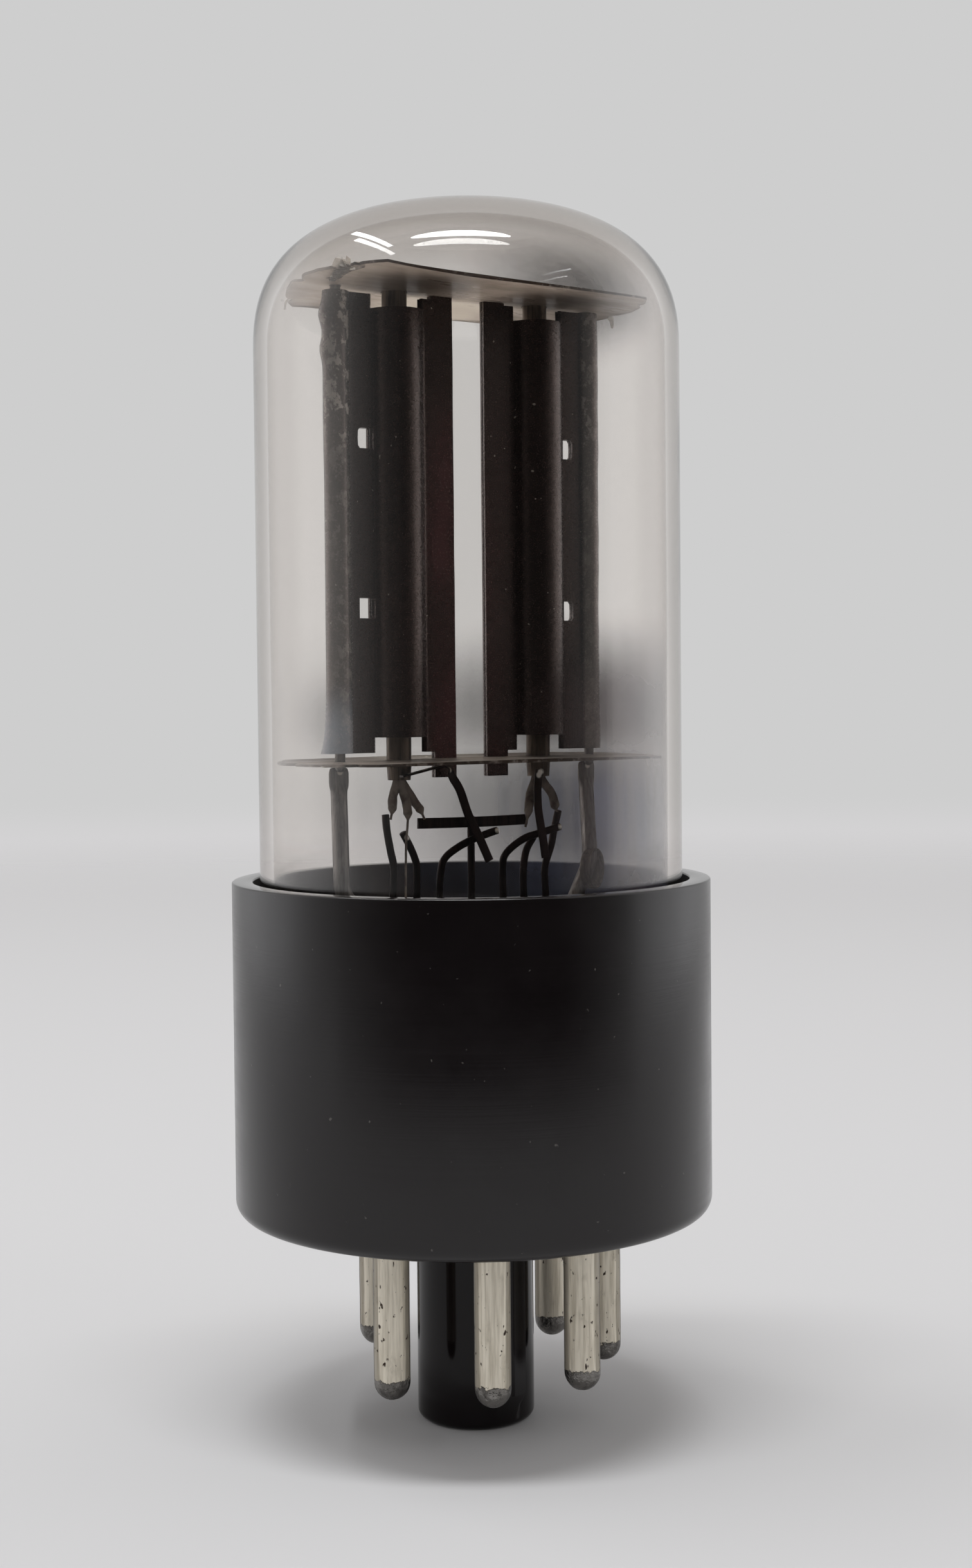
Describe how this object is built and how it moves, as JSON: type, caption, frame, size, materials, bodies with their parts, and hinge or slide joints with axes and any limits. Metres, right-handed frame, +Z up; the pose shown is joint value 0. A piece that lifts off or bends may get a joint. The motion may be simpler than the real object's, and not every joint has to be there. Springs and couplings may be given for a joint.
{
  "type": "vacuum tube",
  "caption": "Glass electron tube with dark folded plates between mica spacers, on a black moulded plug base with hollow pins and a keyed post.",
  "frame": {"origin": "centre of the flat foot of the base post, on which the tube stands", "axes": "+Z up along the tube towards the top of the bulb, -Y towards the key on the post, X along the row of electrodes"},
  "size_m": [0.0318, 0.0318, 0.0801],
  "materials": {
    "bulb_glass": "clear, slightly smoky",
    "stem_glass": "clear, pressed",
    "base_moulding": "black phenolic, satin walls and glossy post",
    "cement": "brown basing cement, matt",
    "pins": "tinned, drawn",
    "pin_wires": "copper coloured wire",
    "stem_leads": "oxidised nickel wire",
    "side_leads": "grey nickel rod",
    "anode_rods": "grey nickel rod",
    "anodes": "carbonised sheet, near black",
    "cathodes": "brown-grey nickel sleeve",
    "heaters": "alumina coated wire, matt",
    "micas": "translucent beige-grey sheet",
    "straps": "thin dark ribbon",
    "getter": "burnt dark, pressed"
  },
  "bodies": {
    "root": {"glass_bulb": "bulb_glass", "glass_stem": "stem_glass", "base_shell": "base_moulding", "base_cement": "cement", "pin_1": "pins", "pin_2": "pins", "pin_3": "pins", "pin_4": "pins", "pin_5": "pins", "pin_7": "pins", "pin_8": "pins", "pin_wire_2": "pin_wires", "pin_wire_3": "pin_wires", "pin_wire_4": "pin_wires", "pin_wire_5": "pin_wires", "pin_wire_7": "pin_wires", "pin_wire_8": "pin_wires", "stem_lead_a": "stem_leads", "stem_lead_b": "stem_leads", "stem_lead_c": "stem_leads", "stem_lead_d": "stem_leads", "stem_lead_e": "stem_leads", "stem_lead_f": "stem_leads", "stem_lead_g": "stem_leads", "side_lead_left": "side_leads", "side_lead_right": "side_leads", "anode_rod_left": "anode_rods", "anode_rod_right": "anode_rods", "anode_left": "anodes", "anode_right": "anodes", "cathode_left": "cathodes", "cathode_right": "cathodes", "heater_left": "heaters", "heater_right": "heaters", "mica_lower": "micas", "mica_upper": "micas", "cathode_strap_left": "straps", "cathode_strap_right": "straps", "heater_link": "straps", "getter_cup": "getter"}
  },
  "joints": []
}
